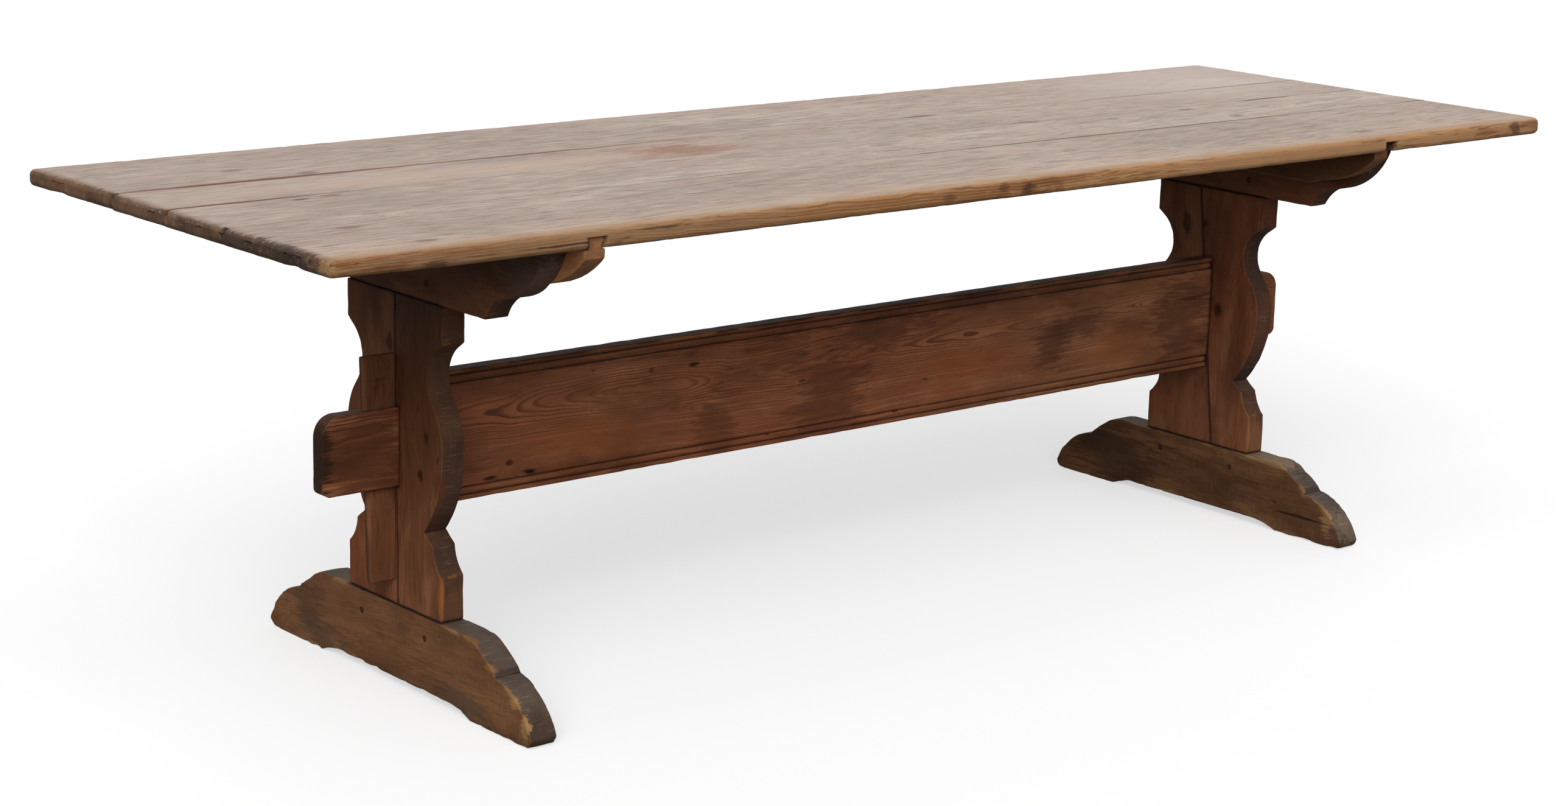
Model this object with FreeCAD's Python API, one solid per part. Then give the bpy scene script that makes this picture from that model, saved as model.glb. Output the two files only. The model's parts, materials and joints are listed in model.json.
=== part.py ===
"""Trestle dining table of pine boards, held together by two wedged through tenons.

Frame: +Z up, +X along the table, +Y towards its back. The origin is on the floor, under the
middle of the top. Every right-hand piece is drawn on the +X side, and its left-hand twin is
the mirror image. Lengths are in millimetres.
"""
import FreeCAD
import Part
import math
import os

Vector = FreeCAD.Vector

# Top of four planks
TABLE_HEIGHT = 760.0
TOP_LENGTH = 2550.0
TOP_THICKNESS = 29.0
FRONT_PLANK_WIDTH = 268.0
INNER_FRONT_PLANK_WIDTH = 165.0
INNER_BACK_PLANK_WIDTH = 150.0
BACK_PLANK_WIDTH = 263.0
TOP_CORNER_RADIUS = 12.0
TOP_WORN_CORNER_RADIUS = 28.0
TOP_ARRIS_RADIUS = 10.0

# Two battens that slide in dovetail housings under the top
BATTEN_LENGTH = 812.0
BATTEN_THICKNESS = 36.0
BATTEN_DEPTH = 76.0
BATTEN_NOSE_HEIGHT = 14.0
BATTEN_ROUND_RUN = 124.0
BATTEN_STEP_RUN = 20.0
BATTEN_STEP_RISE = 8.0
TONGUE_HEIGHT = 18.0
TONGUE_NECK_WIDTH = 24.0
TONGUE_TOP_WIDTH = 32.0
LEFT_BATTEN_SHIFT = -10.0
RIGHT_BATTEN_SHIFT = 6.0

# Trestle bearers under the top
BEARER_LENGTH = 756.0
BEARER_HEIGHT = 125.0
BEARER_THICKNESS = 41.0
BEARER_ROUND_RUN = 104.0
BEARER_COVE_RUN = 37.0
BEARER_COVE_RISE = 36.0

# Trestle uprights, each of two boards edge to edge
UPRIGHT_THICKNESS = 41.0
UPRIGHT_BASE_WIDTH = 252.0
UPRIGHT_CUSP_WIDTH = 160.0
UPRIGHT_BELLY_WIDTH = 258.0
UPRIGHT_WAIST_WIDTH = 174.0
UPRIGHT_NECK_WIDTH = 255.0
LEFT_JOINT_TOP = -3.0
LEFT_JOINT_BOTTOM = -10.0
RIGHT_JOINT_TOP = 25.0
RIGHT_JOINT_BOTTOM = -36.0

# Pegged tenons at both ends of each upright board
PEGGED_TENON_WIDTH = 60.0
PEGGED_TENON_THICKNESS = 14.0
FOOT_TENON_LENGTH = 60.0
BEARER_TENON_LENGTH = 50.0
FOOT_PEG_DEPTH = 33.0
BEARER_PEG_DEPTH = 27.0
PEG_DIAMETER = 10.0

# Feet
FOOT_LENGTH = 720.0
FOOT_HEIGHT = 128.0
FOOT_THICKNESS = 48.0
FOOT_ARCH_HEIGHT = 12.0
FOOT_ARCH_SLOPE = 70.0
FOOT_PAD_LENGTH = 145.0
FOOT_NOSE_RUN = 10.0
FOOT_NOSE_HEIGHT = 14.0
FOOT_TOE_LENGTH = 90.0
FOOT_TOE_HEIGHT = 85.0
FOOT_STEP_WIDTH = 5.0
FOOT_STEP_HEIGHT = 8.0
FOOT_SHOULDER_RUN = 74.0

# Stretcher, its moulded edges and its through tenons
STRETCHER_SHOULDER_LENGTH = 1730.0
STRETCHER_HEIGHT = 205.0
STRETCHER_THICKNESS = 28.0
STRETCHER_OFF_FLOOR = 273.0
MOULDING_FILLET = 6.0
MOULDING_DEPTH = 2.5
MOULDING_BEAD = 12.0
THROUGH_TENON_HEIGHT = 121.0
THROUGH_TENON_SHOULDER = 40.0
LEFT_TENON_PROTRUSION = 131.0
RIGHT_TENON_PROTRUSION = 143.0
TENON_UPPER_ROUND = 32.0
TENON_LOWER_ROUND = 14.0

# Wedges driven down through the tenons
WEDGE_THICKNESS = 9.0
WEDGE_TOP_WIDTH = 57.0
WEDGE_BOTTOM_WIDTH = 44.0
WEDGE_RISE = 81.0
WEDGE_FOOT_GAP = 38.0
WEDGE_SLOT_RELIEF = 8.0

# Clearances, and how far a cut runs past what it cuts
HOUSING_CLEARANCE = 0.3
BATTEN_GAP = 0.3
MORTISE_CLEARANCE = 0.2
PEG_CLEARANCE = 0.05
WEDGE_CLEARANCE = 0.25
OVERRUN = 5.0

# Rises of the round stretches, as shares of their chords
BEARER_COVE_share = 0.10
BEARER_ROUND_share = 0.153
BATTEN_ROUND_share = 0.09
UPRIGHT_COVE_share = 0.108
UPRIGHT_SCOTIA_share = 0.22
FOOT_ARCH_share = 0.06
FOOT_NOSE_share = 0.15
FOOT_TOE_share = 0.137
FOOT_SHOULDER_share = 0.08
QUARTER_ROUND_share = (math.sqrt(2) - 1) / 2

# Levels of the upright's outline, as shares of its height between foot and bearer
BASE_TOP_share = 0.146
COVE_TOP_share = 0.234
CUSP_share = 0.27
BELLY_share = 0.54
SHOULDER_END_share = 0.69
SCOTIA_TOP_share = 0.856
NECK_share = 0.879

# Places across the upright, as shares of the widths that they follow
COVE_TOP_width_share = 0.82
SHOULDER_END_width_share = 0.3
SCOTIA_TOP_width_share = 0.62
TENON_CENTRE_share = 0.69
FOOT_BREAK_run_share = 0.44
FOOT_BREAK_rise_share = 0.6

# Largest arris that the top's thickness and corners leave room for
ARRIS_thickness_share = 0.45
ARRIS_corner_share = 0.9

# Places that follow from the sizes above
TOP_WIDTH = FRONT_PLANK_WIDTH + INNER_FRONT_PLANK_WIDTH + INNER_BACK_PLANK_WIDTH + BACK_PLANK_WIDTH
UNDERSIDE = TABLE_HEIGHT - TOP_THICKNESS
BEARER_BOTTOM = UNDERSIDE - BEARER_HEIGHT
UPRIGHT_HEIGHT = BEARER_BOTTOM - FOOT_HEIGHT
UPRIGHT_INNER = STRETCHER_SHOULDER_LENGTH / 2
UPRIGHT_OUTER = UPRIGHT_INNER + UPRIGHT_THICKNESS
TRESTLE_CENTRE = UPRIGHT_INNER + UPRIGHT_THICKNESS / 2
BEARER_INNER = TRESTLE_CENTRE - BEARER_THICKNESS / 2
BATTEN_CENTRE = BEARER_INNER - BATTEN_GAP - BATTEN_THICKNESS / 2
FOOT_TENON_CENTRE = UPRIGHT_BASE_WIDTH / 2 * TENON_CENTRE_share
BEARER_TENON_CENTRE = UPRIGHT_NECK_WIDTH / 2 * TENON_CENTRE_share
FOOT_PEG_LEVEL = FOOT_HEIGHT - FOOT_PEG_DEPTH
BEARER_PEG_LEVEL = BEARER_BOTTOM + BEARER_PEG_DEPTH
STRETCHER_TOP = STRETCHER_OFF_FLOOR + STRETCHER_HEIGHT
TENON_BOTTOM = STRETCHER_OFF_FLOOR + THROUGH_TENON_SHOULDER
TENON_TOP = TENON_BOTTOM + THROUGH_TENON_HEIGHT
WEDGE_BOTTOM = FOOT_HEIGHT + WEDGE_FOOT_GAP
WEDGE_TOP = TENON_TOP + WEDGE_RISE


def in_yz(y, z):
    """A corner drawn across the table, on the plane x = 0."""
    return Vector(0, y, z)


def in_xz(x, z):
    """A corner drawn along the table, on the plane y = 0."""
    return Vector(x, 0, z)


def face_of(corners, bulge_shares, plane):
    """Flat face through corners given anticlockwise as (across, up).

    A bulge is the rise of the stretch that starts at its corner, as a share of its chord:
    positive to the left of the run, negative to the right, and zero for a straight stretch.
    """
    edges = []
    for i, (start, bulge) in enumerate(zip(corners, bulge_shares)):
        end = corners[(i + 1) % len(corners)]
        if bulge == 0:
            edges.append(Part.LineSegment(plane(*start), plane(*end)).toShape())
            continue
        run = (end[0] - start[0], end[1] - start[1])
        middle = ((start[0] + end[0]) / 2 - run[1] * bulge, (start[1] + end[1]) / 2 + run[0] * bulge)
        edges.append(Part.Arc(plane(*start), plane(*middle), plane(*end)).toShape())
    return Part.Face(Part.Wire(edges))


def bulge_to_upright(start, end):
    """Rise, as a share of the chord, of an arc that stands upright at one of its two ends."""
    lean = math.atan2(abs(end[0] - start[0]), abs(end[1] - start[1]))
    return math.tan(lean / 2) / 2


def both_sides(half, bulge_shares):
    """Closed outline from its +Y half, which runs up from the bottom to the top."""
    corners = half + [(-y, z) for y, z in reversed(half)]
    bulges = bulge_shares + [0] + list(reversed(bulge_shares)) + [0]
    return corners, bulges


def board(corners, bulge_shares, inner, thickness):
    """Board with its outline across the table, from x = inner outwards."""
    face = face_of(corners, bulge_shares, in_yz)
    face.translate(Vector(inner, 0, 0))
    return face.extrude(Vector(thickness, 0, 0))


def box(low, high):
    """Box between two opposite corners."""
    size = [b - a for a, b in zip(low, high)]
    return Part.makeBox(*size, Vector(*low))


def mirrored(shape):
    """Left-hand twin of a right-hand piece."""
    return shape.mirror(Vector(0, 0, 0), Vector(1, 0, 0))


def top_blank():
    """The whole top, its front right corner worn the roundest, before it is split into planks."""
    half_length, half_width = TOP_LENGTH / 2, TOP_WIDTH / 2
    blank = box((-half_length, -half_width, UNDERSIDE), (half_length, half_width, TABLE_HEIGHT))
    corners = [e for e in blank.Edges if abs(e.Vertexes[0].Z - e.Vertexes[1].Z) > OVERRUN]
    square = [e for e in corners if e.CenterOfMass.x < 0 or e.CenterOfMass.y > 0]
    blank = blank.makeFillet(TOP_CORNER_RADIUS, square)
    front_right = max(blank.Edges, key=lambda e: e.CenterOfMass.x - e.CenterOfMass.y)
    blank = blank.makeFillet(TOP_WORN_CORNER_RADIUS, [front_right])
    rims = [e for f in blank.Faces if abs(f.normalAt(0, 0).z) > 0.5 for e in f.Edges]
    room = min(TOP_THICKNESS * ARRIS_thickness_share, TOP_CORNER_RADIUS * ARRIS_corner_share)
    return blank.makeFillet(min(TOP_ARRIS_RADIUS, room), rims)


def dovetail(clearance, start, length):
    """Dovetail prism along Y under the right-hand end of the top."""
    neck = TONGUE_NECK_WIDTH / 2 + clearance
    crown = TONGUE_TOP_WIDTH / 2 + clearance
    floor = UNDERSIDE - BATTEN_GAP
    roof = UNDERSIDE + TONGUE_HEIGHT + clearance
    corners = [(-neck, floor), (neck, floor), (neck, UNDERSIDE), (crown, roof), (-crown, roof), (-neck, UNDERSIDE)]
    face = face_of(corners, [0] * len(corners), in_xz)
    face.translate(Vector(BATTEN_CENTRE, start, 0))
    return face.extrude(Vector(0, length, 0))


def top_planks():
    """Four planks, front to back, with a dovetail housing across them near each end."""
    blank = top_blank()
    housing = dovetail(HOUSING_CLEARANCE, -TOP_WIDTH / 2 - OVERRUN, TOP_WIDTH + 2 * OVERRUN)
    housings = [housing, mirrored(housing)]
    widths = {
        "top_plank_front": FRONT_PLANK_WIDTH,
        "top_plank_inner_front": INNER_FRONT_PLANK_WIDTH,
        "top_plank_inner_back": INNER_BACK_PLANK_WIDTH,
        "top_plank_back": BACK_PLANK_WIDTH,
    }
    planks = {}
    reach = TOP_LENGTH / 2 + OVERRUN
    front = -TOP_WIDTH / 2
    for name, width in widths.items():
        strip = box((-reach, front, UNDERSIDE - OVERRUN), (reach, front + width, TABLE_HEIGHT + OVERRUN))
        planks[name] = blank.common(strip).cut(housings)
        front += width
    return planks


def batten(shift):
    """Right-hand batten: a shaped board with a dovetail tongue along its upper edge."""
    end = BATTEN_LENGTH / 2
    upper = UNDERSIDE - BATTEN_GAP
    lower = UNDERSIDE - BATTEN_DEPTH
    step = end - BATTEN_ROUND_RUN
    half = [
        (step - BATTEN_STEP_RUN, lower),
        (step, lower + BATTEN_STEP_RISE),
        (end, upper - BATTEN_NOSE_HEIGHT),
        (end, upper),
    ]
    outline = both_sides(half, [0, -BATTEN_ROUND_share, 0])
    body = board(*outline, BATTEN_CENTRE - BATTEN_THICKNESS / 2, BATTEN_THICKNESS)
    piece = body.fuse(dovetail(0, -end, BATTEN_LENGTH)).removeSplitter()
    piece.translate(Vector(0, shift, 0))
    return piece


def tenon_box(centre, bottom, top, clearance):
    """Pegged tenon of an upright board, or with a clearance the mortise for it."""
    half_width = PEGGED_TENON_WIDTH / 2 + clearance
    half_thickness = PEGGED_TENON_THICKNESS / 2 + clearance
    low = (TRESTLE_CENTRE - half_thickness, centre - half_width, bottom)
    high = (TRESTLE_CENTRE + half_thickness, centre + half_width, top)
    return box(low, high)


def foot_tenons(clearance=0.0):
    """Lower tenons of the front and back boards."""
    bottom = FOOT_HEIGHT - FOOT_TENON_LENGTH - clearance
    return [tenon_box(side * FOOT_TENON_CENTRE, bottom, FOOT_HEIGHT, clearance) for side in (-1, 1)]


def bearer_tenons(clearance=0.0):
    """Upper tenons of the front and back boards."""
    top = BEARER_BOTTOM + BEARER_TENON_LENGTH + clearance
    return [tenon_box(side * BEARER_TENON_CENTRE, BEARER_BOTTOM, top, clearance) for side in (-1, 1)]


def pegs(centre, level, thickness, clearance=0.0):
    """Two pegs across a trestle rail, or with a clearance the holes for them."""
    start = TRESTLE_CENTRE - thickness / 2
    radius = PEG_DIAMETER / 2 + clearance
    along = Vector(1, 0, 0)
    return [Part.makeCylinder(radius, thickness, Vector(start, side * centre, level), along) for side in (-1, 1)]


def foot_pegs(clearance=0.0):
    return pegs(FOOT_TENON_CENTRE, FOOT_PEG_LEVEL, FOOT_THICKNESS, clearance)


def bearer_pegs(clearance=0.0):
    return pegs(BEARER_TENON_CENTRE, BEARER_PEG_LEVEL, BEARER_THICKNESS, clearance)


def bearer():
    """Right-hand bearer with ogee ends, mortised from below."""
    end = BEARER_LENGTH / 2
    cusp = end - BEARER_ROUND_RUN
    half = [
        (cusp - BEARER_COVE_RUN, BEARER_BOTTOM),
        (cusp, BEARER_BOTTOM + BEARER_COVE_RISE),
        (end, UNDERSIDE),
    ]
    outline = both_sides(half, [BEARER_COVE_share, -BEARER_ROUND_share])
    blank = board(*outline, BEARER_INNER, BEARER_THICKNESS)
    return blank.cut(bearer_tenons(MORTISE_CLEARANCE) + bearer_pegs(PEG_CLEARANCE))


def foot():
    """Right-hand foot with stepped round toes and a shallow arch, mortised from above."""
    end = FOOT_LENGTH / 2
    pad_end = end - FOOT_NOSE_RUN - FOOT_PAD_LENGTH
    toe = end - FOOT_TOE_LENGTH
    step = toe - FOOT_STEP_WIDTH
    step_top = FOOT_TOE_HEIGHT + FOOT_STEP_HEIGHT
    break_level = step_top + (FOOT_HEIGHT - step_top) * FOOT_BREAK_rise_share
    half = [
        (pad_end - FOOT_ARCH_SLOPE, FOOT_ARCH_HEIGHT),
        (pad_end, 0),
        (end - FOOT_NOSE_RUN, 0),
        (end, FOOT_NOSE_HEIGHT),
        (toe, FOOT_TOE_HEIGHT),
        (step, step_top),
        (step - FOOT_SHOULDER_RUN * FOOT_BREAK_run_share, break_level),
        (step - FOOT_SHOULDER_RUN, FOOT_HEIGHT),
    ]
    bulges = [FOOT_ARCH_share, 0, -FOOT_NOSE_share, -FOOT_TOE_share, 0, 0, -FOOT_SHOULDER_share]
    blank = board(*both_sides(half, bulges), TRESTLE_CENTRE - FOOT_THICKNESS / 2, FOOT_THICKNESS)
    return blank.cut(foot_tenons(MORTISE_CLEARANCE) + foot_pegs(PEG_CLEARANCE))


def upright_blank():
    """Both boards of an upright as one baluster outline."""
    base, cusp = UPRIGHT_BASE_WIDTH / 2, UPRIGHT_CUSP_WIDTH / 2
    belly, waist = UPRIGHT_BELLY_WIDTH / 2, UPRIGHT_WAIST_WIDTH / 2
    neck = UPRIGHT_NECK_WIDTH / 2

    def level(share):
        return FOOT_HEIGHT + UPRIGHT_HEIGHT * share

    cusp_point = (cusp, level(CUSP_share))
    belly_point = (belly, level(BELLY_share))
    shoulder_end = (waist + (belly - waist) * SHOULDER_END_width_share, level(SHOULDER_END_share))
    half = [
        (base, FOOT_HEIGHT),
        (base, level(BASE_TOP_share)),
        (base * COVE_TOP_width_share, level(COVE_TOP_share)),
        cusp_point,
        belly_point,
        shoulder_end,
        (waist + (neck - waist) * SCOTIA_TOP_width_share, level(SCOTIA_TOP_share)),
        (neck, level(NECK_share)),
        (neck, BEARER_BOTTOM),
    ]
    bulges = [
        0,
        UPRIGHT_COVE_share,
        0,
        -bulge_to_upright(cusp_point, belly_point),
        -bulge_to_upright(belly_point, shoulder_end),
        UPRIGHT_SCOTIA_share,
        0,
        0,
    ]
    return board(*both_sides(half, bulges), UPRIGHT_INNER, UPRIGHT_THICKNESS)


def upright_boards(joint_top, joint_bottom):
    """Front and back boards of an upright, parted along a joint that may slant."""
    blank = upright_blank()
    reach = max(UPRIGHT_BELLY_WIDTH, UPRIGHT_NECK_WIDTH, UPRIGHT_BASE_WIDTH) / 2 + OVERRUN
    corners = [(joint_bottom, FOOT_HEIGHT), (reach, FOOT_HEIGHT), (reach, BEARER_BOTTOM), (joint_top, BEARER_BOTTOM)]
    behind = board(corners, [0] * len(corners), UPRIGHT_INNER, UPRIGHT_THICKNESS)
    half_mortise = STRETCHER_THICKNESS / 2 + MORTISE_CLEARANCE
    mortise = box(
        (UPRIGHT_INNER - OVERRUN, -half_mortise, TENON_BOTTOM - MORTISE_CLEARANCE),
        (UPRIGHT_OUTER + OVERRUN, half_mortise, TENON_TOP + MORTISE_CLEARANCE),
    )
    holes = [mortise] + foot_pegs(PEG_CLEARANCE) + bearer_pegs(PEG_CLEARANCE)
    halves = [blank.cut(behind), blank.common(behind)]
    boards = []
    for half, lower, upper in zip(halves, foot_tenons(), bearer_tenons()):
        boards.append(half.fuse([lower, upper]).cut(holes).removeSplitter())
    return boards


def stretcher_body():
    """Stretcher between the trestles, with a bead between two quirks along each edge."""
    face_y = STRETCHER_THICKNESS / 2
    quirk_y = face_y - MOULDING_DEPTH
    heights = [0, MOULDING_FILLET, MOULDING_FILLET + MOULDING_DEPTH]
    heights.append(heights[-1] + MOULDING_BEAD)
    heights.append(heights[-1] + MOULDING_DEPTH)
    depths = [face_y, face_y, quirk_y, quirk_y, face_y]
    lower = [(y, STRETCHER_OFF_FLOOR + h) for y, h in zip(depths, heights)]
    upper = [(y, STRETCHER_TOP - h) for y, h in zip(reversed(depths), reversed(heights))]
    bead = -MOULDING_DEPTH / MOULDING_BEAD
    bulges = [0, 0, bead, 0, 0, 0, bead, 0, 0]
    return board(*both_sides(lower + upper, bulges), -UPRIGHT_INNER, STRETCHER_SHOULDER_LENGTH)


def wedge_outline(clearance=0.0):
    """Right-hand wedge seen from the front, or with a clearance the space that it takes."""
    inner = UPRIGHT_OUTER + WEDGE_CLEARANCE - clearance
    return [
        (inner, WEDGE_BOTTOM),
        (UPRIGHT_OUTER + WEDGE_BOTTOM_WIDTH + clearance, WEDGE_BOTTOM),
        (UPRIGHT_OUTER + WEDGE_TOP_WIDTH + clearance, WEDGE_TOP),
        (inner, WEDGE_TOP),
    ]


def wedge():
    """Right-hand wedge, tapered along its outer edge."""
    corners = wedge_outline()
    face = face_of(corners, [0] * len(corners), in_xz)
    face.translate(Vector(0, -WEDGE_THICKNESS / 2, 0))
    return face.extrude(Vector(0, WEDGE_THICKNESS, 0))


def through_tenon(protrusion):
    """Right-hand through tenon with a round-cornered end and a tapered slot for the wedge."""
    end = UPRIGHT_OUTER + protrusion
    corners = [
        (UPRIGHT_INNER, TENON_BOTTOM),
        (end - TENON_LOWER_ROUND, TENON_BOTTOM),
        (end, TENON_BOTTOM + TENON_LOWER_ROUND),
        (end, TENON_TOP - TENON_UPPER_ROUND),
        (end - TENON_UPPER_ROUND, TENON_TOP),
        (UPRIGHT_INNER, TENON_TOP),
    ]
    bulges = [0, -QUARTER_ROUND_share, 0, -QUARTER_ROUND_share, 0, 0]
    face = face_of(corners, bulges, in_xz)
    face.translate(Vector(0, -STRETCHER_THICKNESS / 2, 0))
    tenon = face.extrude(Vector(0, STRETCHER_THICKNESS, 0))
    slot_corners = wedge_outline(WEDGE_CLEARANCE)
    slot_corners[0] = (UPRIGHT_OUTER - WEDGE_SLOT_RELIEF, WEDGE_BOTTOM)
    slot_corners[-1] = (UPRIGHT_OUTER - WEDGE_SLOT_RELIEF, WEDGE_TOP)
    slot_face = face_of(slot_corners, [0] * len(slot_corners), in_xz)
    half_slot = WEDGE_THICKNESS / 2 + WEDGE_CLEARANCE
    slot_face.translate(Vector(0, -half_slot, 0))
    return tenon.cut(slot_face.extrude(Vector(0, 2 * half_slot, 0)))


def stretcher():
    """Stretcher with a through tenon at each end."""
    left_tenon = mirrored(through_tenon(LEFT_TENON_PROTRUSION))
    right_tenon = through_tenon(RIGHT_TENON_PROTRUSION)
    return stretcher_body().fuse([left_tenon, right_tenon]).removeSplitter()


def all_parts():
    """Every piece of the table under its own name."""
    parts = top_planks()
    parts["left_batten"] = mirrored(batten(LEFT_BATTEN_SHIFT))
    parts["right_batten"] = batten(RIGHT_BATTEN_SHIFT)
    parts["left_bearer"] = mirrored(bearer())
    parts["right_bearer"] = bearer()
    left_front, left_back = upright_boards(LEFT_JOINT_TOP, LEFT_JOINT_BOTTOM)
    parts["left_upright_front_board"] = mirrored(left_front)
    parts["left_upright_back_board"] = mirrored(left_back)
    right_front, right_back = upright_boards(RIGHT_JOINT_TOP, RIGHT_JOINT_BOTTOM)
    parts["right_upright_front_board"] = right_front
    parts["right_upright_back_board"] = right_back
    parts["left_foot"] = mirrored(foot())
    parts["right_foot"] = foot()
    parts["stretcher"] = stretcher()
    parts["left_wedge"] = mirrored(wedge())
    parts["right_wedge"] = wedge()
    parts["right_foot_pegs"] = Part.makeCompound(foot_pegs())
    parts["left_foot_pegs"] = mirrored(parts["right_foot_pegs"])
    parts["right_bearer_pegs"] = Part.makeCompound(bearer_pegs())
    parts["left_bearer_pegs"] = mirrored(parts["right_bearer_pegs"])
    return parts


os.makedirs("parts", exist_ok=True)
for node, shape in all_parts().items():
    shape.exportStep(f"parts/{node}.step")
    print(node, len(shape.Solids), "solids", round(shape.Volume / 1000), "cm3", shape.isValid())
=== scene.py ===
"""Looks of the trestle dining table: scrubbed pine planks on a dark, hand-worn pine underframe.

Every board is a worn copy of its solid, with rounded arrises, chips and gently uneven faces. Each
mesh carries what its finish needs: the place in its board and in the tree, so that one pine figure
serves boards of any direction, and how far each point is rubbed, tucked into a corner where grime and
painted shade gather, on the board's edge rather than its face and darkened by painted shade, and how
clear the year rings are.
"""
import json
import math

import bmesh
import bpy
from mathutils import Matrix, Vector, kdtree, noise
from mathutils.bvhtree import BVHTree


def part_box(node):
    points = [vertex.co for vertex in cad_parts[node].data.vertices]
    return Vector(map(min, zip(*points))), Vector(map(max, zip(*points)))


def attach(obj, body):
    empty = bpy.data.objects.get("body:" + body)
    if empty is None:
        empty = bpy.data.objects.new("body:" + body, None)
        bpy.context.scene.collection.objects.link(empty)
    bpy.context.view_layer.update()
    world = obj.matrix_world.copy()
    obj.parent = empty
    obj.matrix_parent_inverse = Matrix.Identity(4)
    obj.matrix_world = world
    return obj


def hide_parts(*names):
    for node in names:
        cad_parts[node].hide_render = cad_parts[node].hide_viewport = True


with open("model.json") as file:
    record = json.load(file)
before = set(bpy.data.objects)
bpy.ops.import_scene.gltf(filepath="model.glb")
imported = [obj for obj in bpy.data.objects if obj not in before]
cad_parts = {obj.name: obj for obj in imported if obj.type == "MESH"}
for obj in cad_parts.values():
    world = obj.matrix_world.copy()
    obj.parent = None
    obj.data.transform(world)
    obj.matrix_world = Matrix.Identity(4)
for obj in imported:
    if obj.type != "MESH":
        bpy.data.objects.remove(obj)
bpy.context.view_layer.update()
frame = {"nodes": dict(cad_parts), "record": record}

MM = 0.001

# Photograph's frame and the camera that was solved from it
PHOTO_WIDTH_PX = 2576
FOCAL_PX = 4971.3
SENSOR_MM = 36.0
CAMERA_PLACE = Vector((-3.2779, -3.6955, 1.5082))
CAMERA_YAW = math.radians(40.261)
CAMERA_PITCH = math.radians(-13.611)
CAMERA_ROLL = math.radians(1.595)

# Light: level on a surface that faces each lamp, where it comes from and how far it spreads
LAMPS = {
    "overhead": (0.43, (-0.45, -0.55, 1.0), math.radians(80)),
    "window": (0.6, (-0.58, -0.65, 0.5), math.radians(45)),
    "fill": (0.2, (0.62, 0.7, 0.3), math.radians(60)),
}
DOME_LEVEL = 0.2
FLOOR_RADIUS = 40.0
FLOOR_SEGMENTS = 64
FLOOR_DROP = 0.0004
FLOOR_GLOW = 0.55


def linear(code):
    """Linear colour of an sRGB hex code."""
    parts = [int(code[i:i + 2], 16) / 255 for i in (1, 3, 5)]
    return tuple(c / 12.92 if c < 0.04045 else ((c + 0.055) / 1.055) ** 2.4 for c in parts) + (1.0,)


def add(tree, kind, inputs, out=0, **settings):
    """Adds a shader node; each input takes a value or another node's output."""
    node = tree.nodes.new("ShaderNode" + kind)
    for name, value in settings.items():
        setattr(node, name, value)
    for key, value in inputs.items():
        if isinstance(value, bpy.types.NodeSocket):
            tree.links.new(value, node.inputs[key])
        else:
            node.inputs[key].default_value = value
    return node.outputs[out]


def pitch(*sizes_mm):
    """Pattern scale, in repeats to the metre, from real sizes in millimetres."""
    return tuple(1 / (size * MM) for size in sizes_mm)


BOXES = {node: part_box(node) for node in frame["nodes"]}
BODY_OF = {node: body for body, nodes in frame["record"]["behaviour"]["bodies"].items() for node in nodes}

# Places on the top, a batten, the stretcher and the trestles, in millimetres
TOP_END = BOXES["top_plank_front"][1][0] / MM
TOP_LEVEL = BOXES["top_plank_front"][1][2] / MM
FRONT_EDGE = BOXES["top_plank_front"][0][1] / MM
FRONT_JOINT = BOXES["top_plank_inner_front"][0][1] / MM
MIDDLE_JOINT = BOXES["top_plank_inner_back"][0][1] / MM
BACK_JOINT = BOXES["top_plank_back"][0][1] / MM
BACK_EDGE = BOXES["top_plank_back"][1][1] / MM
RIGHT_BATTEN_INNER = BOXES["right_batten"][0][0] / MM
BATTEN_BOTTOM = BOXES["right_batten"][0][2] / MM
TENON_END = BOXES["stretcher"][0][0] / MM
STRETCHER_FACE = -14
LEFT_TRESTLE = -886
RIGHT_TRESTLE = 886
LEFT_UPRIGHT_FACE = -906
RIGHT_UPRIGHT_FACE = 865
LEFT_FOOT_FACE = -909
RIGHT_FOOT_FACE = 862


# Worn meshes

MERGE = 1e-6
FLAT_ANGLE = math.radians(1)
SHARP_ANGLE = math.radians(45)
COVERED_MARGIN = 1 * MM
HOUSING_MARGIN = 2 * MM
ARRIS_SEGMENTS = 3
EDGE_SAMPLE = 1.5 * MM
# Grime and painted shade in corners: reach from another piece, and the angle and reach of a piece's own
# hollows
CORNER_GRIME_AND_SHADE_REACH = 9 * MM
HOLLOW_ANGLE = math.radians(20)
HOLLOW_REACH = 2.5 * MM
BOARD_SPACING = 3.1

# Swells and nicks: repeats to the metre, and for nicks also the level they start from and their share
SEED_STEPS = (3.1, 1.7, 0)
SWELL_REPEATS = 6
NICKS = ((38, 0.1, 1.0), (90, 0.15, 0.5))

# Wear of the top's rim and left end in millimetres, and the bruises' repeats to the metre across and up it
RIM_REACH = 15.0
END_WEAR_RUN = 55.0
END_THIN_RUN = 170.0
END_THIN = 3.0
END_THIN_BELOW = 9.0
BRUISE_DEPTH = 3.0
BRUISE_REPEATS = (24, 30)

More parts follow.
